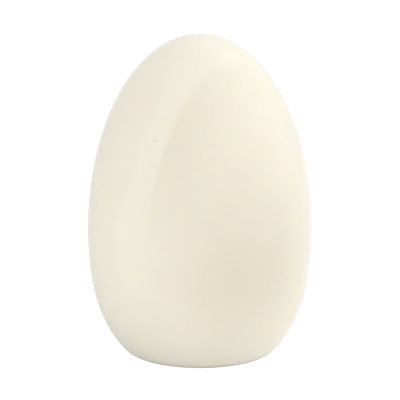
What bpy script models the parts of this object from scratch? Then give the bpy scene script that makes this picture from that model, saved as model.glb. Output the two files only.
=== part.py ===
"""A moulded white chocolate egg that stands upright on its own flattened foot.

The egg is one turned solid. Above its widest ring the outline is half an ellipse. Below that ring it is
a fuller superellipse, cut off flat where the egg stands, and a round edge joins it to the flat foot.
The real egg is a shell that is closed all round, so nothing of its inside shows, and the solid is full.
An air bubble that met the wall of the mould left one pinhole high on the front.

Metres, +Z up. The origin is the centre of the foot, on the surface that the egg stands on, and the
front is at -Y. Run it with blender --background --python part.py, or from Blender's text editor.
"""

import math

import bmesh
import bpy
from mathutils import Matrix, Vector

# The size of the egg. A three-to-two egg of 150 mm is a common mould.
EGG_HEIGHT = 0.150
EGG_WIDTH = 0.105

# How full the egg is, and where.
GIRTH_HEIGHT = 0.059  # of the widest ring, above the foot
LOWER_FULLNESS = 2.42  # exponent of the superellipse below that ring, where 2 would be an ellipse
DEPTH_BELOW_FOOT = 0.0105  # how far under the foot that curve would close, if it were not cut off
FOOT_EDGE_RADIUS = 0.0105  # of the round edge between the side and the foot

# The pinhole. It is the dent of a long flat bubble that lay aslant, with its middle on the surface.
PINHOLE_TURN = math.radians(-25.8)  # round the egg from the middle of its front, towards -X
PINHOLE_HEIGHT = 0.1047
BUBBLE_LENGTH = 0.0026
BUBBLE_BREADTH = 0.0008
BUBBLE_THICKNESS = 0.0006
BUBBLE_RISE = math.radians(20)  # how much its length turns up from level, seen square to the surface
BUBBLE_SLANT = math.radians(20)  # how steeply its right end runs into the egg

# How finely the smooth shapes are cut into flat faces.
TURN_STEPS = 72
UPPER_STEPS = 26
LOWER_STEPS = 14
FOOT_EDGE_STEPS = 6
PINHOLE_SIDES = 10
PINHOLE_RINGS = 6
HALVINGS = 50  # of the search for the place where the foot's edge begins

# White chocolate: warm cream, smooth, with the low gloss of a mould's wall.
CHOCOLATE_COLOUR = (0.80, 0.735, 0.590, 1.0)
CHOCOLATE_ROUGHNESS = 0.22

GIRTH_RADIUS = EGG_WIDTH / 2


def clear_scene():
    for obj in list(bpy.data.objects):
        bpy.data.objects.remove(obj, do_unlink=True)


def new_collection(name):
    collection = bpy.data.collections.new(name)
    bpy.context.scene.collection.children.link(collection)
    return collection


def lower_point(angle):
    """(radius, height) on the superellipse, from the widest ring at angle 0 to its end at 90 degrees."""
    power = 2 / LOWER_FULLNESS
    drop = (GIRTH_HEIGHT + DEPTH_BELOW_FOOT) * math.sin(angle) ** power
    return GIRTH_RADIUS * math.cos(angle) ** power, GIRTH_HEIGHT - drop


def lower_normal(angle):
    """The outward unit normal of the superellipse there, as (radial part, upward part)."""
    power = 2 - 2 / LOWER_FULLNESS
    radial = math.cos(angle) ** power / GIRTH_RADIUS
    upward = -(math.sin(angle) ** power) / (GIRTH_HEIGHT + DEPTH_BELOW_FOOT)
    length = math.hypot(radial, upward)
    return radial / length, upward / length


def angle_where_foot_edge_begins():
    """Where a ball of the edge's radius touches the inside of the side and the foot at once, by halving."""
    low, high = 0.0, math.pi / 2
    for _ in range(HALVINGS):
        middle = (low + high) / 2
        height = lower_point(middle)[1]
        ball_bottom = height - FOOT_EDGE_RADIUS * (lower_normal(middle)[1] + 1)
        if ball_bottom > 0:
            low = middle
        else:
            high = middle
    return low


def upper_outline():
    """Half an ellipse, from the tip down to just above the widest ring."""
    rise = EGG_HEIGHT - GIRTH_HEIGHT
    angles = [math.pi / 2 * i / UPPER_STEPS for i in range(UPPER_STEPS)]
    return [(GIRTH_RADIUS * math.sin(a), GIRTH_HEIGHT + rise * math.cos(a)) for a in angles]


def lower_outline(last_angle):
    """The superellipse, from the widest ring to where the foot's round edge takes over."""
    return [lower_point(last_angle * i / LOWER_STEPS) for i in range(LOWER_STEPS + 1)]


def foot_edge_outline(first_angle):
    """The round edge, an arc that ends on the flat foot."""
    radius, height = lower_point(first_angle)
    radial, upward = lower_normal(first_angle)
    centre = (radius - FOOT_EDGE_RADIUS * radial, height - FOOT_EDGE_RADIUS * upward)
    start = math.atan2(-upward, radial)
    points = []
    for i in range(1, FOOT_EDGE_STEPS + 1):
        turn = start + (math.pi / 2 - start) * i / FOOT_EDGE_STEPS
        points.append((centre[0] + FOOT_EDGE_RADIUS * math.cos(turn),
                       centre[1] - FOOT_EDGE_RADIUS * math.sin(turn)))
    return points


def egg_outline():
    """The whole outline at +X, from the tip down the outside to the middle of the foot."""
    meeting = angle_where_foot_edge_begins()
    return upper_outline() + lower_outline(meeting) + foot_edge_outline(meeting) + [(0.0, 0.0)]


def turned_object(name, outline, steps, collection):
    """A closed body of revolution: a line of points that a Screw modifier turns about the Z axis."""
    mesh = bpy.data.meshes.new(name)
    shape = bmesh.new()
    points = [shape.verts.new((radius, 0.0, height)) for radius, height in outline]
    for above, below in zip(points, points[1:]):
        shape.edges.new((above, below))
    shape.to_mesh(mesh)
    shape.free()
    obj = bpy.data.objects.new(name, mesh)
    collection.objects.link(obj)
    turn = obj.modifiers.new("turn", "SCREW")
    turn.axis = "Z"
    turn.angle = 2 * math.pi
    turn.steps = turn.render_steps = steps
    turn.use_merge_vertices = True
    turn.merge_threshold = 0.00001
    turn.use_smooth_shade = True
    return obj


def upper_surface(turn, height):
    """(point, outward normal) on the egg above its widest ring."""
    rise = EGG_HEIGHT - GIRTH_HEIGHT
    up = (height - GIRTH_HEIGHT) / rise
    radius = GIRTH_RADIUS * math.sqrt(1 - up * up)
    round_egg = Matrix.Rotation(turn, 3, "Z")
    point = round_egg @ Vector((0.0, -radius, height))
    normal = round_egg @ Vector((0.0, -radius / GIRTH_RADIUS**2, up / rise))
    return point, normal.normalized()


def pinhole_cutter(collection):
    """The bubble, a long flattened ball."""
    mesh = bpy.data.meshes.new("pinhole_cutter")
    shape = bmesh.new()
    bmesh.ops.create_uvsphere(shape, u_segments=PINHOLE_SIDES, v_segments=PINHOLE_RINGS, radius=1.0)
    half_sizes = (BUBBLE_LENGTH / 2, BUBBLE_BREADTH / 2, BUBBLE_THICKNESS / 2)
    bmesh.ops.scale(shape, vec=half_sizes, verts=shape.verts)
    shape.to_mesh(mesh)
    shape.free()
    cutter = bpy.data.objects.new("pinhole_cutter", mesh)
    collection.objects.link(cutter)
    point, normal = upper_surface(PINHOLE_TURN, PINHOLE_HEIGHT)
    cutter.location = point
    square_to_surface = normal.to_track_quat("Z", "Y").to_matrix()
    lie = Matrix.Rotation(BUBBLE_RISE, 3, "Z") @ Matrix.Rotation(BUBBLE_SLANT, 3, "Y")
    cutter.rotation_euler = (square_to_surface @ lie).to_euler()
    cutter.hide_render = True
    cutter.display_type = "WIRE"
    return cutter


def chocolate_material():
    material = bpy.data.materials.new("white_chocolate")
    material.use_nodes = True
    surface = material.node_tree.nodes["Principled BSDF"]
    surface.inputs["Base Color"].default_value = CHOCOLATE_COLOUR
    surface.inputs["Roughness"].default_value = CHOCOLATE_ROUGHNESS
    surface.inputs["Metallic"].default_value = 0.0
    return material


def main():
    clear_scene()
    parts = new_collection("chocolate_egg")
    cutters = new_collection("cutters")
    egg = turned_object("egg", egg_outline(), TURN_STEPS, parts)
    egg.data.materials.append(chocolate_material())
    pinhole = egg.modifiers.new("pinhole", "BOOLEAN")
    pinhole.operation = "DIFFERENCE"
    pinhole.solver = "EXACT"
    pinhole.object = pinhole_cutter(cutters)


main()
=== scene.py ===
# %% [markdown]
# # A white chocolate egg
#
# An egg like this is cast in two halves of a polished mould, joined warm, and stood on its blunt end,
# which is melted flat so that it stands by itself. There is nothing on it: all that the eye gets is one
# long curve, a warm cream colour, and a gloss that faintly mirrors the studio. So the lesson has three
# parts: a curve that is right, a surface that is almost perfect but not quite, and a studio that is worth
# mirroring.
#
# The first cell loads the solid that the egg was designed as. It fixes the height and the width.

# %% The solid that the egg was designed as
import math

import bpy
from mathutils import Matrix, Vector


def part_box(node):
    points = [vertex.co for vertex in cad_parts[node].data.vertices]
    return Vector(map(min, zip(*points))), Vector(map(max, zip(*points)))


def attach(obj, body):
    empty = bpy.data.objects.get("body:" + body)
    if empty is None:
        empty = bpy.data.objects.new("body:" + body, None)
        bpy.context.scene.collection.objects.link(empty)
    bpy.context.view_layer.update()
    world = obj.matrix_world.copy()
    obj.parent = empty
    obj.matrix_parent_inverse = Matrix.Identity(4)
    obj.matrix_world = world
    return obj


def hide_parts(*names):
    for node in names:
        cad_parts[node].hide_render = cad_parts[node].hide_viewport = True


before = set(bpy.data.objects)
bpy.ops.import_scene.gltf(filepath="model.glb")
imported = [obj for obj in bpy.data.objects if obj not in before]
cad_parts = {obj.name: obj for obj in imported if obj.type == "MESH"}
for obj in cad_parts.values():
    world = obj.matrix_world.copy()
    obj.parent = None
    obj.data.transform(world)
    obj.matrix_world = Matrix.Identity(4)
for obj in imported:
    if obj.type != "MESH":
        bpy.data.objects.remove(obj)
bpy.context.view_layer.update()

EGG_LOW, EGG_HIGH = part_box("egg")
HEIGHT = EGG_HIGH.z - EGG_LOW.z
GIRTH_RADIUS = (EGG_HIGH.x - EGG_LOW.x) / 2

# %% [markdown]
# ## The camera
#
# The photograph was taken with a long lens from a little above the middle of the egg: the foot's front
# edge shows as a shallow curve, and the sides hardly narrow. A long lens from 0.6 m gives that. The
# camera aims a touch below the egg's middle, which centres the egg in the picture. Shifting the lens
# would do that too, but a shift would go along into every other view.

# %% Camera
CAMERA_DISTANCE = 0.600
CAMERA_ELEVATION = math.radians(8.5)
LENS_MM = 115.3
SENSOR_WIDTH_MM = 36.0
AIM_BELOW_MIDDLE = 0.0025


def add_camera():
    """The camera in front of the egg, made the scene's own."""
    data = bpy.data.cameras.new("camera")
    data.lens = LENS_MM
    data.sensor_width = SENSOR_WIDTH_MM
    camera = bpy.data.objects.new("camera", data)
    bpy.context.scene.collection.objects.link(camera)
    middle = Vector((0.0, 0.0, HEIGHT / 2))
    back = Vector((0.0, -math.cos(CAMERA_ELEVATION), math.sin(CAMERA_ELEVATION)))
    camera.location = middle + back * CAMERA_DISTANCE
    aim = middle - Vector((0.0, 0.0, AIM_BELOW_MIDDLE))
    camera.rotation_euler = (aim - camera.location).to_track_quat("-Z", "Y").to_euler()
    bpy.context.scene.camera = camera
    return camera


camera = add_camera()
print("camera at", [round(value, 4) for value in camera.location])

# %% [markdown]
# ## The egg's curve
#
# An egg's outline is fuller below its widest ring than above it. Here the upper part is half an ellipse,
# and the lower part a superellipse, whose exponent of 2.42 makes it a little squarer. The table cuts that
# curve off flat, and a round edge of 10.5 mm joins the side to the foot. The edge's arc has to touch both,
# so its centre is found by halving: a ball of that radius is rolled down the inside of the side until it
# touches the table.

# %% The egg's proportions
GIRTH_HEIGHT = 0.059  # of the widest ring, above the table
LOWER_FULLNESS = 2.42  # exponent of the superellipse, where 2 would be an ellipse
DEPTH_BELOW_FOOT = 0.0105  # how far under the table that curve would close
FOOT_EDGE_RADIUS = 0.0105
HALVINGS = 50


def lower_point(angle):
    """(radius, height) on the superellipse, from the widest ring at 0 to its end at 90 degrees."""
    power = 2 / LOWER_FULLNESS
    drop = (GIRTH_HEIGHT + DEPTH_BELOW_FOOT) * math.sin(angle) ** power
    return GIRTH_RADIUS * math.cos(angle) ** power, GIRTH_HEIGHT - drop


def lower_normal(angle):
    """The outward unit normal there, as (radial part, upward part)."""
    power = 2 - 2 / LOWER_FULLNESS
    radial = math.cos(angle) ** power / GIRTH_RADIUS
    upward = -(math.sin(angle) ** power) / (GIRTH_HEIGHT + DEPTH_BELOW_FOOT)
    length = math.hypot(radial, upward)
    return radial / length, upward / length


def foot_edge():
    """(radius of the ring that the edge's arc is drawn round, height where the arc meets the side)."""
    low, high = 0.0, math.pi / 2
    for _ in range(HALVINGS):
        middle = (low + high) / 2
        ball_bottom = lower_point(middle)[1] - FOOT_EDGE_RADIUS * (lower_normal(middle)[1] + 1)
        if ball_bottom > 0:
            low = middle
        else:
            high = middle
    return lower_point(low)[0] - FOOT_EDGE_RADIUS * lower_normal(low)[0], lower_point(low)[1]


EDGE_RING, EDGE_TOP = foot_edge()

# %% [markdown]
# ## The pinhole
#
# One air bubble met the wall of the mould and left a small pit, high on the front and left of the middle.
# It is a real hollow, because a spot of dark colour would stay dark from every side. The bubble was long
# and flat and lay aslant, so the pit is steep and dark at its right end, and slopes up gently to the left.

# %% Where the pinhole sits
PINHOLE_TURN = math.radians(-25.8)  # round the egg from the middle of its front, towards -X
PINHOLE_HEIGHT = 0.1047
BUBBLE_LENGTH = 0.0026
BUBBLE_BREADTH = 0.0008
BUBBLE_THICKNESS = 0.0008
BUBBLE_RISE = math.radians(20)  # how much its length turns up from level
BUBBLE_SLANT = math.radians(20)  # how steeply its right end runs into the egg


def upper_surface(turn, height):
    """(point, outward normal) on the egg above its widest ring."""
    rise = HEIGHT - GIRTH_HEIGHT
    up = (height - GIRTH_HEIGHT) / rise
    radius = GIRTH_RADIUS * math.sqrt(1 - up * up)
    outward = Vector((math.sin(turn), -math.cos(turn), 0.0))
    point = outward * radius + Vector((0.0, 0.0, height))
    normal = outward * (radius / GIRTH_RADIUS**2) + Vector((0.0, 0.0, up / rise))
    return point, normal.normalized()


def bubble_turn(normal):
    """The bubble's own turn where the surface has this normal."""
    square_to_surface = normal.to_track_quat("Z", "Y").to_matrix()
    lie = Matrix.Rotation(BUBBLE_RISE, 3, "Z") @ Matrix.Rotation(BUBBLE_SLANT, 3, "Y")
    return (square_to_surface @ lie).to_euler()


PINHOLE_PLACE, PINHOLE_NORMAL = upper_surface(PINHOLE_TURN, PINHOLE_HEIGHT)

# %% [markdown]
# ## Helpers for node trees
#
# Both the egg's shape and its colours are made in node trees. A formula takes many Math nodes, so one
# helper adds a node and plugs in its numbers or sockets, which lets a formula read almost as it would on
# paper. The same helper serves geometry and shader trees, because the Math node is in both.

# %% Helpers for node trees


def plug(tree, value, socket):
    """Feeds a socket from another socket, or sets it to a plain value."""
    if isinstance(value, bpy.types.NodeSocket):
        tree.links.new(value, socket)
    else:
        socket.default_value = value


def calculate(tree, operation, *values):
    """One Math node: the result of an operation on numbers or sockets."""
    node = tree.nodes.new("ShaderNodeMath")
    node.operation = operation
    for value, socket in zip(values, node.inputs):
        plug(tree, value, socket)
    return node.outputs[0]


def choose(tree, test, if_true, if_false):
    """if_true where test is 1 and if_false where it is 0, as one blend of two numbers."""
    node = tree.nodes.new("ShaderNodeMix")
    node.data_type = "FLOAT"
    plug(tree, test, node.inputs["Factor"])
    plug(tree, if_false, node.inputs[2])
    plug(tree, if_true, node.inputs[3])
    return node.outputs[0]


def ramp(tree, value, start, end, low=0.0, high=1.0):
    """A smooth step: low up to start, high from end on, and an S-curve between."""
    node = tree.nodes.new("ShaderNodeMapRange")
    node.interpolation_type = "SMOOTHSTEP"
    for name, number in (("From Min", start), ("From Max", end), ("To Min", low), ("To Max", high)):
        plug(tree, number, node.inputs[name])
    plug(tree, value, node.inputs["Value"])
    return node.outputs["Result"]


def scaled(tree, vector, amount):
    """A vector or a colour times a number, all its parts alike."""
    node = tree.nodes.new("ShaderNodeVectorMath")
    node.operation = "SCALE"
    plug(tree, vector, node.inputs[0])
    plug(tree, amount, node.inputs["Scale"])
    return node.outputs[0]


# %% [markdown]
# ## The egg's shape as a rule
#
# The whole surface follows one rule, so Geometry Nodes make it: a sphere gives evenly spread points, and
# every point is moved to where the rule puts it. The rule needs only how far out from the axis the point
# is on the sphere (`out`) and how far up (`up`). A profile turned by a Screw modifier would give the same
# curve, but here each size is an input that can be changed on the modifier.
#
# A cast egg isn't perfect either. Chocolate shrinks as it sets, and comes away from the mould in slow
# ripples of a few hundredths of a millimetre. No eye sees them as shape, but they bend the reflections.
# Last of all, the bubble is cut out of the surface, which leaves the pinhole.

# %% The rule's inputs
EGG_INPUTS = (
    ("Height", "NodeSocketFloat"),
    ("Girth radius", "NodeSocketFloat"),
    ("Girth height", "NodeSocketFloat"),
    ("Lower fullness", "NodeSocketFloat"),
    ("Depth below foot", "NodeSocketFloat"),
    ("Edge radius", "NodeSocketFloat"),
    ("Edge ring", "NodeSocketFloat"),
    ("Edge top", "NodeSocketFloat"),
    ("Segments", "NodeSocketInt"),
    ("Rings", "NodeSocketInt"),
    ("Ripple height", "NodeSocketFloat"),
    ("Ripple length", "NodeSocketFloat"),
    ("Ripple seed", "NodeSocketFloat"),
    ("Bubble place", "NodeSocketVector"),
    ("Bubble turn", "NodeSocketVector"),
    ("Bubble half sizes", "NodeSocketVector"),
    ("Chocolate", "NodeSocketMaterial"),
)
print(len(EGG_INPUTS), "inputs, from", EGG_INPUTS[0][0], "to", EGG_INPUTS[-1][0])

# %% The outline, in nodes


def outline_point(tree, given, out, up):
    """(radius, height) of a point of the egg, from its place on the unit sphere."""
    rise = calculate(tree, "SUBTRACT", given["Height"], given["Girth height"])
    upper_radius = calculate(tree, "MULTIPLY", given["Girth radius"], out)
    upper_height = calculate(tree, "MULTIPLY_ADD", rise, up, given["Girth height"])

    power = calculate(tree, "DIVIDE", 2.0, given["Lower fullness"])
    lower_radius = calculate(tree, "MULTIPLY", given["Girth radius"], calculate(tree, "POWER", out, power))
    depth = calculate(tree, "ADD", given["Girth height"], given["Depth below foot"])
    share_down = calculate(tree, "POWER", calculate(tree, "ABSOLUTE", up), power)
    drop = calculate(tree, "MULTIPLY", depth, share_down)
    lower_height = calculate(tree, "SUBTRACT", given["Girth height"], drop)

    is_upper = calculate(tree, "GREATER_THAN", up, 0.0)
    radius = choose(tree, is_upper, upper_radius, lower_radius)
    height = choose(tree, is_upper, upper_height, lower_height)
    return radius, calculate(tree, "MAXIMUM", height, 0.0)


def rounded_at_foot(tree, given, radius, height):
    """The same point, moved onto the foot's round edge if it lies in the sharp corner there."""
    outside = calculate(tree, "GREATER_THAN", radius, given["Edge ring"])
    below = calculate(tree, "LESS_THAN", height, given["Edge top"])
    in_corner = calculate(tree, "MULTIPLY", outside, below)
    across = calculate(tree, "SUBTRACT", radius, given["Edge ring"])
    along = calculate(tree, "SUBTRACT", height, given["Edge radius"])
    squares = calculate(tree, "MULTIPLY_ADD", across, across, calculate(tree, "MULTIPLY", along, along))
    scale = calculate(tree, "DIVIDE", given["Edge radius"], calculate(tree, "SQRT", squares))
    arc_radius = calculate(tree, "MULTIPLY_ADD", across, scale, given["Edge ring"])
    arc_height = calculate(tree, "MULTIPLY_ADD", along, scale, given["Edge radius"])
    return choose(tree, in_corner, arc_radius, radius), choose(tree, in_corner, arc_height, height)


def shaped(tree, given, sphere):
    """The sphere's points moved to the egg's outline."""
    split = tree.nodes.new("ShaderNodeSeparateXYZ")
    plug(tree, tree.nodes.new("GeometryNodeInputPosition").outputs[0], split.inputs[0])
    x, y, up = split.outputs
    out = calculate(tree, "SQRT", calculate(tree, "MULTIPLY_ADD", x, x, calculate(tree, "MULTIPLY", y, y)))
    radius, height = rounded_at_foot(tree, given, *outline_point(tree, given, out, up))
    scale = calculate(tree, "DIVIDE", radius, out)
    place = tree.nodes.new("ShaderNodeCombineXYZ")
    plug(tree, calculate(tree, "MULTIPLY", x, scale), place.inputs[0])
    plug(tree, calculate(tree, "MULTIPLY", y, scale), place.inputs[1])
    plug(tree, height, place.inputs[2])
    move = tree.nodes.new("GeometryNodeSetPosition")
    plug(tree, sphere, move.inputs["Geometry"])
    plug(tree, place.outputs[0], move.inputs["Position"])
    return move.outputs[0]


# %% The ripples, in nodes
RIPPLE_DETAIL = 1.0  # one finer octave on top of the slow one


def rippled(tree, given, egg):
    """The surface moved in and out along its normal by slow noise, which fades out at the flat foot."""
    position = tree.nodes.new("GeometryNodeInputPosition").outputs[0]
    split = tree.nodes.new("ShaderNodeSeparateXYZ")
    plug(tree, position, split.inputs[0])
    noise = tree.nodes.new("ShaderNodeTexNoise")
    noise.noise_dimensions = "4D"
    plug(tree, position, noise.inputs["Vector"])
    plug(tree, given["Ripple seed"], noise.inputs["W"])
    plug(tree, calculate(tree, "DIVIDE", 1.0, given["Ripple length"]), noise.inputs["Scale"])
    noise.inputs["Detail"].default_value = RIPPLE_DETAIL
    # Noise runs from 0 to 1, so twice its distance from a half runs from -1 to 1.
    centred = calculate(tree, "SUBTRACT", noise.outputs[0], 0.5)
    swing = calculate(tree, "MULTIPLY", centred, calculate(tree, "MULTIPLY", given["Ripple height"], 2.0))
    fade = ramp(tree, split.outputs[2], 0.0, given["Edge top"])
    normal = tree.nodes.new("GeometryNodeInputNormal").outputs[0]
    move = tree.nodes.new("GeometryNodeSetPosition")
    plug(tree, egg, move.inputs["Geometry"])
    plug(tree, scaled(tree, normal, calculate(tree, "MULTIPLY", swing, fade)), move.inputs["Offset"])
    return move.outputs[0]


# %% The pinhole, in nodes
BUBBLE_SUBDIVISIONS = 4


def pierced(tree, given, egg):
    """The egg less the bubble, a long flattened ball, which leaves the pinhole."""
    ball = tree.nodes.new("GeometryNodeMeshIcoSphere")
    ball.inputs["Radius"].default_value = 1.0
    ball.inputs["Subdivisions"].default_value = BUBBLE_SUBDIVISIONS
    place = tree.nodes.new("GeometryNodeTransform")
    plug(tree, ball.outputs["Mesh"], place.inputs["Geometry"])
    plug(tree, given["Bubble place"], place.inputs["Translation"])
    plug(tree, given["Bubble turn"], place.inputs["Rotation"])
    plug(tree, given["Bubble half sizes"], place.inputs["Scale"])
    cut = tree.nodes.new("GeometryNodeMeshBoolean")
    cut.operation = "DIFFERENCE"
    cut.solver = "EXACT"
    plug(tree, egg, cut.inputs["Mesh 1"])
    plug(tree, place.outputs[0], cut.inputs["Mesh 2"])
    return cut.outputs["Mesh"]


# %% The whole rule


def egg_tree():
    """The tree that makes the egg: a sphere, shaped, rippled, pierced and given its material."""
    tree = bpy.data.node_groups.new("moulded_egg", "GeometryNodeTree")
    for name, kind in EGG_INPUTS:
        tree.interface.new_socket(name, in_out="INPUT", socket_type=kind)
    tree.interface.new_socket("Egg", in_out="OUTPUT", socket_type="NodeSocketGeometry")
    given = tree.nodes.new("NodeGroupInput").outputs
    sphere = tree.nodes.new("GeometryNodeMeshUVSphere")
    plug(tree, given["Segments"], sphere.inputs["Segments"])
    plug(tree, given["Rings"], sphere.inputs["Rings"])
    egg = pierced(tree, given, rippled(tree, given, shaped(tree, given, sphere.outputs["Mesh"])))
    smooth = tree.nodes.new("GeometryNodeSetShadeSmooth")
    plug(tree, egg, smooth.inputs["Geometry"])
    real = tree.nodes.new("GeometryNodeRealizeInstances")
    plug(tree, smooth.outputs[0], real.inputs[0])
    finish = tree.nodes.new("GeometryNodeSetMaterial")
    plug(tree, real.outputs[0], finish.inputs["Geometry"])
    plug(tree, given["Chocolate"], finish.inputs["Material"])
    plug(tree, finish.outputs[0], tree.nodes.new("NodeGroupOutput").inputs[0])
    return tree


moulded_egg = egg_tree()
print(len(moulded_egg.nodes), "nodes in the rule")

# %% [markdown]
# ## White chocolate
#
# White chocolate is cocoa butter, milk and sugar: a warm cream, never pure white. Light goes a millimetre
# or two into it before it comes back, which softens edges and fills the pinhole with light, so the shader
# has some subsurface scattering. The polished mould leaves it smooth, but it mirrors only a little, as fat
# does. Three faint things keep it from looking like plastic: slow clouds of a slightly warmer cream, a
# gloss that is a little uneven where the chocolate let go of the mould, and a grain that is only two
# thousandths of a millimetre high. A painted picture could hold all three, but noise on the egg's own
# coordinates has no seam and stays fine however close the eye comes.

# %% Material
CREAM = (0.860, 0.823, 0.698, 1.0)
WARM_CREAM = (0.848, 0.809, 0.678, 1.0)
CLOUD_SIZE = 0.030
CLOUD_DETAIL = 2.0
CLOUD_RANGE = (0.35, 0.65)  # the noise at which the cream is plain, and at which it is fully warm

GLOSS_ROUGHNESS = 0.05
DULL_ROUGHNESS = 0.08
GLOSS_PATCH_SIZE = 0.015
GLOSS_PATCH_DETAIL = 3.0
GLOSS_PATCH_RANGE = (0.3, 0.7)  # the noise at which the gloss is best, and at which it is dullest

GRAIN_SIZE = 0.0006
GRAIN_DETAIL = 2.0
GRAIN_HEIGHT = 0.000002

COCOA_BUTTER_IOR = 1.46
SCATTERED_SHARE = 0.5
LIGHT_DEPTH = 0.0012
LIGHT_DEPTH_BY_COLOUR = (1.0, 0.75, 0.4)


def mix_colours(tree, share, first, second):
    """The first colour where the share is 0, the second where it is 1, and a blend between."""
    node = tree.nodes.new("ShaderNodeMix")
    node.data_type = "RGBA"
    plug(tree, share, node.inputs["Factor"])
    plug(tree, first, node.inputs[6])
    plug(tree, second, node.inputs[7])
    return node.outputs[2]


def noise_at(tree, place, size, detail):
    """A Noise texture on the object's own coordinates, with features of about the given size."""
    node = tree.nodes.new("ShaderNodeTexNoise")
    plug(tree, place, node.inputs["Vector"])
    node.inputs["Scale"].default_value = 1 / size
    node.inputs["Detail"].default_value = detail
    return node.outputs[0]


def white_chocolate():
    """The egg's material."""
    material = bpy.data.materials.new("white_chocolate")
    material.use_nodes = True
    tree = material.node_tree
    surface = tree.nodes["Principled BSDF"]
    place = tree.nodes.new("ShaderNodeTexCoord").outputs["Object"]

    clouds = ramp(tree, noise_at(tree, place, CLOUD_SIZE, CLOUD_DETAIL), *CLOUD_RANGE)
    plug(tree, mix_colours(tree, clouds, CREAM, WARM_CREAM), surface.inputs["Base Color"])

    patches = noise_at(tree, place, GLOSS_PATCH_SIZE, GLOSS_PATCH_DETAIL)
    roughness = ramp(tree, patches, *GLOSS_PATCH_RANGE, GLOSS_ROUGHNESS, DULL_ROUGHNESS)
    plug(tree, roughness, surface.inputs["Roughness"])

    grain = tree.nodes.new("ShaderNodeBump")
    plug(tree, noise_at(tree, place, GRAIN_SIZE, GRAIN_DETAIL), grain.inputs["Height"])
    grain.inputs["Distance"].default_value = GRAIN_HEIGHT
    plug(tree, grain.outputs[0], surface.inputs["Normal"])

    surface.inputs["IOR"].default_value = COCOA_BUTTER_IOR
    surface.inputs["Subsurface Weight"].default_value = SCATTERED_SHARE
    surface.inputs["Subsurface Radius"].default_value = LIGHT_DEPTH_BY_COLOUR
    surface.inputs["Subsurface Scale"].default_value = LIGHT_DEPTH
    return material


chocolate = white_chocolate()
print(f"{chocolate.name}: {len(chocolate.node_tree.nodes)} nodes")

# %% [markdown]
# ## From rule to mesh
#
# The modifier's inputs are set by each socket's identifier, before Blender first evaluates the egg. Then
# the evaluated result becomes a plain mesh, and the modifier goes. It could stay, but a plain mesh is what
# every export understands. The whole egg is shaded smooth, but the pinhole's rim is marked as sharp, or
# the shading would smear it over the faces round about.

# %% The egg's own values
SEGMENTS = 288
RINGS = 288
RIPPLE_HEIGHT = 0.00004
RIPPLE_LENGTH = 0.022
RIPPLE_SEED = 3.0


def egg_values():
    """The value of each of the rule's inputs, by its name."""
    return {
        "Height": HEIGHT,
        "Girth radius": GIRTH_RADIUS,
        "Girth height": GIRTH_HEIGHT,
        "Lower fullness": LOWER_FULLNESS,
        "Depth below foot": DEPTH_BELOW_FOOT,
        "Edge radius": FOOT_EDGE_RADIUS,
        "Edge ring": EDGE_RING,
        "Edge top": EDGE_TOP,
        "Segments": SEGMENTS,
        "Rings": RINGS,
        "Ripple height": RIPPLE_HEIGHT,
        "Ripple length": RIPPLE_LENGTH,
        "Ripple seed": RIPPLE_SEED,
        "Bubble place": PINHOLE_PLACE,
        "Bubble turn": bubble_turn(PINHOLE_NORMAL),
        "Bubble half sizes": (BUBBLE_LENGTH / 2, BUBBLE_BREADTH / 2, BUBBLE_THICKNESS / 2),
        "Chocolate": chocolate,
    }


# %% The egg
SHARP_ANGLE = math.radians(35)


def make_by_rule(name, tree, values):
    """The plain mesh object that a geometry tree makes with these input values."""
    maker = bpy.data.objects.new(name + "_maker", bpy.data.meshes.new(name + "_maker"))
    bpy.context.scene.collection.objects.link(maker)
    modifier = maker.modifiers.new("rule", "NODES")
    modifier.node_group = tree
    for item in tree.interface.items_tree:
        if item.in_out == "INPUT":
            modifier[item.identifier] = values[item.name]
    graph = bpy.context.evaluated_depsgraph_get()
    mesh = bpy.data.meshes.new_from_object(maker.evaluated_get(graph))
    maker.modifiers.remove(modifier)
    bpy.data.objects.remove(maker)
    mesh.name = name
    made = bpy.data.objects.new(name, mesh)
    bpy.context.scene.collection.objects.link(made)
    return made


egg = make_by_rule("white_egg", moulded_egg, egg_values())
egg.data.set_sharp_from_angle(angle=SHARP_ANGLE)
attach(egg, "root")
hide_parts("egg")
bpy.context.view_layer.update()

# %% [markdown]
# ## The table
#
# The egg stands on a plain white table that is lit from below as well, as a light table is, so its shadow
# stays faint. Close under the foot's round edge that glow falls to a third: a painted shadow of the egg,
# which is what sets the egg down. The photograph was cut out on pure white, so the camera is shown the
# table as white with only a little of its real shading. All other rays meet the real table.
#
# What lies on the table shows, mirrored, in the lower half of the egg. Painted light brightens the table's
# glow to the left, in front, and behind to the right, as white cards would, and painted shade darkens it
# to the front right, which shows as the duller patch low on the egg.
# Real cards could lie there as thin sheets of their own. Here they are painted light and painted shade in
# the table's glow and colour, so that an edge can be as soft as the photograph shows it, and none casts a
# shadow of its own.
#
# A painted patch is bounded by straight lines. Each line is given by the azimuth in which the patch lies
# beyond it, and by how far from the egg's axis its edge starts and ends: far apart for a soft edge, and
# close together for the two crisp ones of the left patch of painted light, which draw fine lines down the
# left of the egg.

# %% Painted light and shade on the table
# Painted light: the table glows more on three patches, to the left, in front and behind to the right, as if
# white cards threw light up onto the egg.
LEFT_PAINTED_LIGHT = 0.24
LEFT_PAINTED_LIGHT_LINES = ((-141.5, -0.017, -0.011), (1.0, 0.015, 0.019), (-70.0, 0.028, 0.140))
FRONT_PAINTED_LIGHT = 0.46
FRONT_PAINTED_LIGHT_LINES = ((-4.0, 0.023, 0.100), (176.0, -1.40, -0.28))
BACK_PAINTED_LIGHT = 0.20
BACK_PAINTED_LIGHT_LINES = ((109.0, -0.018, 0.060),)
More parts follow.
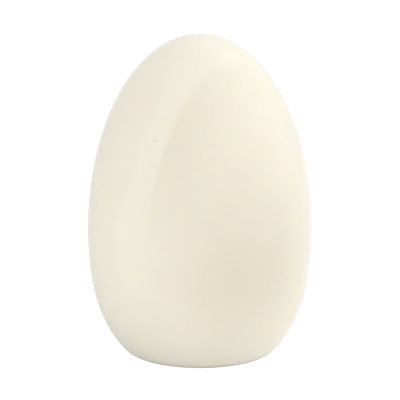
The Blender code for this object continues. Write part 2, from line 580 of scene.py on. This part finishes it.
# Painted shade: towards the front right the table's colour and glow are darker, and the egg mirrors that as
# a duller patch.
PAINTED_SHADE_TONE = (0.19, 0.14, 0.08, 1.0)
PAINTED_SHADE_LINES = ((24.0, 0.05, 0.13), (204.0, -1.36, -0.45), (114.0, -0.17, 0.06), (294.0, -0.41, -0.18))


def direction(azimuth, elevation):
    """A unit vector. Azimuth 0 is the camera's side, and positive azimuths are to its right."""
    turn = math.radians(azimuth)
    tilt = math.radians(elevation)
    return Vector((math.sin(turn) * math.cos(tilt), -math.cos(turn) * math.cos(tilt), math.sin(tilt)))


def past(tree, vector, azimuth, elevation, start, end):
    """A smooth step, 0 to 1, as the vector's length along a direction grows from start to end."""
    node = tree.nodes.new("ShaderNodeVectorMath")
    node.operation = "DOT_PRODUCT"
    plug(tree, vector, node.inputs[0])
    node.inputs[1].default_value = direction(azimuth, elevation)
    return ramp(tree, node.outputs["Value"], start, end)


def painted_patch(tree, place, lines):
    """1 on a painted patch of the table and 0 off it. The patch lies past all of its lines."""
    mask = 1.0
    for azimuth, start, end in lines:
        mask = calculate(tree, "MULTIPLY", mask, past(tree, place, azimuth, 0.0, start, end))
    return mask


# The patch of painted shade lies towards this direction.
print("the dark card lies towards", [round(value, 2) for value in direction(PAINTED_SHADE_LINES[0][0], 0.0)])

# %% The table's finish, and its painted light and shade
WHITE = (1.0, 1.0, 1.0, 1.0)
TABLE_WHITE = 0.30
TABLE_GLOSS_ROUGHNESS = 0.5
TABLE_GLOW = 0.41
# A painted shadow of the egg: the table's glow falls close round the foot.
FOOT_SHADE_RADII = (0.031, 0.037)  # the glow is low inside the first, and full outside the second
FOOT_SHADE_LEFT = 0.35  # of the glow, inside the first radius
CUT_OUT_SHARE = 0.9
CUT_OUT_WHITE = 1.14


def table_glow(tree, place):
    """How the table glows: all over, more on the painted light, and less in the painted shadow round the
    foot.
    """
    glow = calculate(tree, "MULTIPLY_ADD", painted_patch(tree, place, LEFT_PAINTED_LIGHT_LINES), LEFT_PAINTED_LIGHT, TABLE_GLOW)
    glow = calculate(tree, "MULTIPLY_ADD", painted_patch(tree, place, FRONT_PAINTED_LIGHT_LINES), FRONT_PAINTED_LIGHT, glow)
    glow = calculate(tree, "MULTIPLY_ADD", painted_patch(tree, place, BACK_PAINTED_LIGHT_LINES), BACK_PAINTED_LIGHT, glow)
    from_axis = tree.nodes.new("ShaderNodeVectorMath")
    from_axis.operation = "LENGTH"
    plug(tree, place, from_axis.inputs[0])
    shade = ramp(tree, from_axis.outputs["Value"], *FOOT_SHADE_RADII, FOOT_SHADE_LEFT)
    return calculate(tree, "MULTIPLY", glow, shade)


def table_material():
    """The real table for all rays, with most of it covered by plain white where the camera looks."""
    material = bpy.data.materials.new("table_white")
    material.use_nodes = True
    tree = material.node_tree
    surface = tree.nodes["Principled BSDF"]
    place = tree.nodes.new("ShaderNodeTexCoord").outputs["Object"]
    # Painted shade: the table's colour and glow are darkened on one patch to the front right.
    tone_with_painted_shade = mix_colours(tree, painted_patch(tree, place, PAINTED_SHADE_LINES), WHITE, PAINTED_SHADE_TONE)
    plug(tree, scaled(tree, tone_with_painted_shade, TABLE_WHITE), surface.inputs["Base Color"])
    surface.inputs["Roughness"].default_value = TABLE_GLOSS_ROUGHNESS
    plug(tree, tone_with_painted_shade, surface.inputs["Emission Color"])
    plug(tree, table_glow(tree, place), surface.inputs["Emission Strength"])

    shown = tree.nodes.new("ShaderNodeEmission")
    shown.inputs["Strength"].default_value = CUT_OUT_WHITE
    blend = tree.nodes.new("ShaderNodeMixShader")
    seen = tree.nodes.new("ShaderNodeLightPath").outputs["Is Camera Ray"]
    plug(tree, calculate(tree, "MULTIPLY", seen, CUT_OUT_SHARE), blend.inputs[0])
    plug(tree, surface.outputs[0], blend.inputs[1])
    plug(tree, shown.outputs[0], blend.inputs[2])
    plug(tree, blend.outputs[0], tree.nodes["Material Output"].inputs["Surface"])
    return material


table_white = table_material()
print(f"{table_white.name}: {len(table_white.node_tree.nodes)} nodes")

# %% Table
TABLE_SIZE = 6.0


def add_table():
    """A square table with its top at the egg's foot."""
    mesh = bpy.data.meshes.new("table")
    half = TABLE_SIZE / 2
    corners = [(-half, -half, 0.0), (half, -half, 0.0), (half, half, 0.0), (-half, half, 0.0)]
    mesh.from_pydata(corners, [], [(0, 1, 2, 3)])
    mesh.materials.append(table_white)
    table = bpy.data.objects.new("table", mesh)
    bpy.context.scene.collection.objects.link(table)
    return table


table = add_table()
print("table", [round(size, 1) for size in table.dimensions[:2]], "m")

# %% [markdown]
# ## The studio
#
# The egg is smooth, so its gloss mirrors the whole studio, and the photograph tells what stood there. A
# white tent arches over the egg from the left, brighter in front and low down, and its crisp edge is the
# long curve down the front and over the top. Two lamps shine through the tent, one overhead and a small
# one close to its back edge. Beside the long edge, towards the camera, is a dim warm gap. A wide softbox
# stands to the right, with a thin screen before part of it that takes away a third of its light at most,
# and a cool white backdrop behind.
#
# Lamps and sheets of cloth could be set up for all this, but each edge would then have to be found by
# moving them about. Instead the world shader holds them all, each as a colour times smooth steps across
# the direction that a ray comes from, so an edge has its place and its softness in a few numbers. One
# step gives a straight edge, and a step measured from a lamp's middle gives a round patch.

# %% Where the studio's lights are
# An edge is a step: the azimuth and elevation that it rises along, then where it starts and ends there.
# A place is a round patch: its middle's azimuth and elevation, then the angles from there at which it has
# faded out and up to which it is full.
ROOM = (0.71, 0.71, 0.71, 1.0)
GAP = (0.16, 0.0, 0.0, 1.0)
GAP_PLACE = (-47.0, 36.5, 45.5, 11.5)

TENT = (0.53, 0.545, 0.56)
TENT_EDGE = (-141.5, 19.5, -0.005, 0.005)
TENT_BACK_EDGE = (-139.0, 40.0, 0.395, 0.405)
TENT_BACK_FROM = (90.0, 0.0, 0.0, 0.12)  # the back edge cuts the tent off only to the right
TENT_BRIGHT = (12.0, -14.0, -0.27, 0.10)  # the tent's light grows along this
TENT_LOWER = (0.145, 0.15, 0.155)
TENT_LOWER_EDGE = (-4.5, -47.5, -0.006, 0.024)

OVERHEAD = (0.44, 0.455, 0.47)
OVERHEAD_PLACE = (58.0, 84.0, 58.0, 0.0)
BACK_LAMP = (0.40, 0.385, 0.37)
BACK_LAMP_PLACE = (110.0, 60.0, 22.0, 2.0)

SOFTBOX = (1.43, 1.415, 1.40)
SOFTBOX_PLACE = (62.0, -10.0, 78.5, 17.0)
SOFTBOX_FOOT = (0.0, 90.0, -0.34, 0.43)  # it fades out towards its foot
SCREEN_SHADE = 0.33
SCREEN_PLACE = (34.0, -13.0, 42.0, 5.0)
BACKDROP = (0.18, 0.19, 0.205)
BACKDROP_PLACE = (145.0, 3.0, 83.0, 38.0)

print("the softbox is towards", [round(value, 2) for value in direction(*SOFTBOX_PLACE[:2])])

# %% The studio as a formula


def patch(tree, ray, azimuth, elevation, outer, inner):
    """A round patch: 1 within the inner angle of its middle, fading to 0 at the outer angle."""
    return past(tree, ray, azimuth, elevation, math.cos(math.radians(outer)), math.cos(math.radians(inner)))


def add_light(tree, total, colour, mask):
    """The light so far, plus a colour where its mask lets it through."""
    added = tree.nodes.new("ShaderNodeVectorMath")
    added.operation = "ADD"
    plug(tree, total, added.inputs[0])
    plug(tree, scaled(tree, colour, mask), added.inputs[1])
    return added.outputs[0]


def inside_tent(tree, ray):
    """(1 to the left of the tent's long edge, 1 on the tent itself, which also ends at its back edge)."""
    left = past(tree, ray, *TENT_EDGE)
    beyond_back = calculate(tree, "SUBTRACT", 1.0, past(tree, ray, *TENT_BACK_EDGE))
    cut_away = calculate(tree, "MULTIPLY", beyond_back, past(tree, ray, *TENT_BACK_FROM))
    return left, calculate(tree, "MULTIPLY", left, calculate(tree, "SUBTRACT", 1.0, cut_away))


def studio_light(tree, ray):
    """The colour of the light that comes from each direction."""
    left, tent = inside_tent(tree, ray)
    gap = calculate(tree, "MULTIPLY", patch(tree, ray, *GAP_PLACE), calculate(tree, "SUBTRACT", 1.0, left))
    light = mix_colours(tree, gap, ROOM, GAP)
    light = add_light(tree, light, TENT, calculate(tree, "MULTIPLY", tent, past(tree, ray, *TENT_BRIGHT)))
    lower = calculate(tree, "MULTIPLY", tent, past(tree, ray, *TENT_LOWER_EDGE))
    light = add_light(tree, light, TENT_LOWER, lower)
    overhead = calculate(tree, "MULTIPLY", tent, patch(tree, ray, *OVERHEAD_PLACE))
    light = add_light(tree, light, OVERHEAD, overhead)
    back_lamp = calculate(tree, "MULTIPLY", tent, patch(tree, ray, *BACK_LAMP_PLACE))
    light = add_light(tree, light, BACK_LAMP, back_lamp)
    softbox = calculate(tree, "MULTIPLY", patch(tree, ray, *SOFTBOX_PLACE), past(tree, ray, *SOFTBOX_FOOT))
    softbox = calculate(tree, "MULTIPLY", softbox, calculate(tree, "SUBTRACT", 1.0, tent))
    light = add_light(tree, light, SOFTBOX, softbox)
    light = add_light(tree, light, BACKDROP, patch(tree, ray, *BACKDROP_PLACE))
    shade = calculate(tree, "MULTIPLY", patch(tree, ray, *SCREEN_PLACE), SCREEN_SHADE)
    return scaled(tree, light, calculate(tree, "SUBTRACT", 1.0, shade))


# %% Studio


def light_studio():
    """The studio for every ray but the camera's own, which sees the same white as on the table."""
    world = bpy.data.worlds.new("studio")
    world.use_nodes = True
    bpy.context.scene.world = world
    tree = world.node_tree
    light = studio_light(tree, tree.nodes.new("ShaderNodeTexCoord").outputs["Generated"])
    seen = tree.nodes.new("ShaderNodeLightPath").outputs["Is Camera Ray"]
    white = (CUT_OUT_WHITE, CUT_OUT_WHITE, CUT_OUT_WHITE, 1.0)
    plug(tree, mix_colours(tree, seen, light, white), tree.nodes["Background"].inputs["Color"])
    return world


studio = light_studio()
bpy.context.scene.view_settings.view_transform = "Standard"
print(f"{studio.name}: {len(studio.node_tree.nodes)} nodes")
